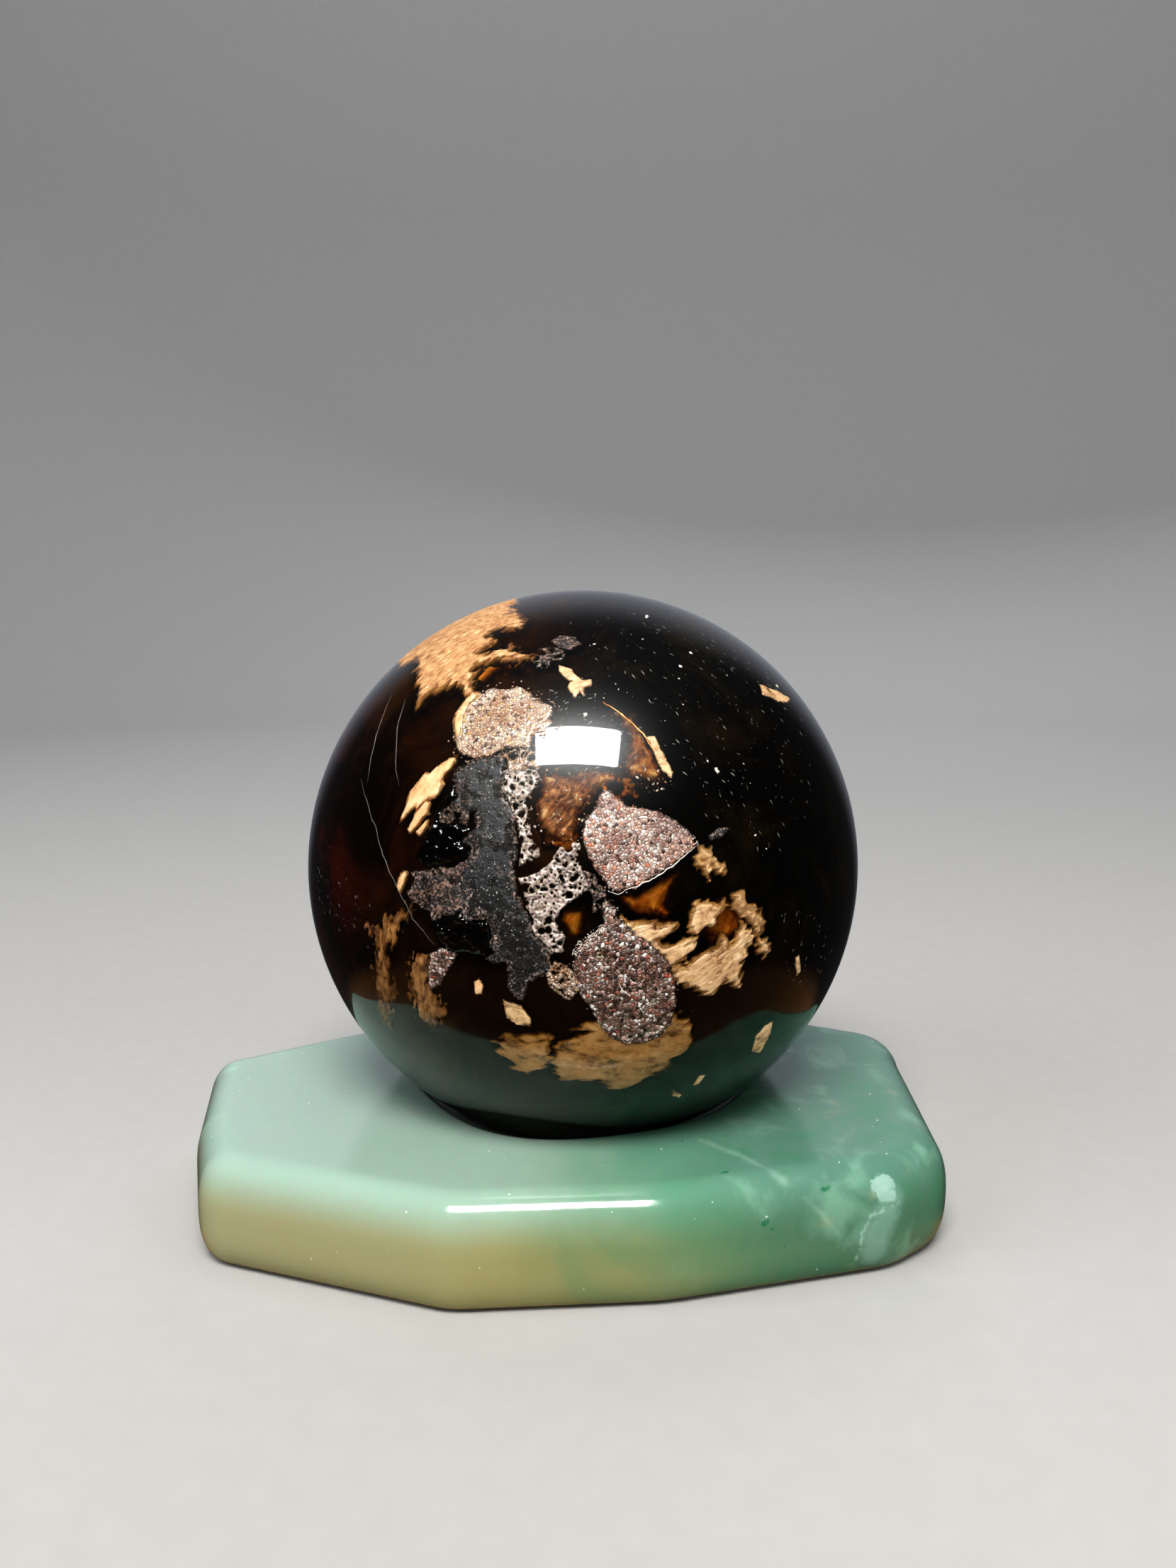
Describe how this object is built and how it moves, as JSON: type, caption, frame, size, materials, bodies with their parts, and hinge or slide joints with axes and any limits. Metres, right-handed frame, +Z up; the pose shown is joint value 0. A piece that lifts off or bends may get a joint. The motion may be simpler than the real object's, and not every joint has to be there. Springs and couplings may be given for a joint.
{
  "type": "amber sphere on a stone base",
  "caption": "Polished dark amber sphere full of rock, sand and crust, set in the round dished seat of a small green stone slab.",
  "frame": {"origin": "middle of the underside's box, on the surface that the base stands on", "axes": "+Z up, +X along the base's longest side, -Y towards the side with the widest stone inclusions"},
  "size_m": [0.1078, 0.0846, 0.0852],
  "materials": {
    "amber": "polished",
    "green_stone": "gloss"
  },
  "bodies": {
    "root": {"amber_sphere": "amber", "stone_base": "green_stone"}
  },
  "joints": []
}
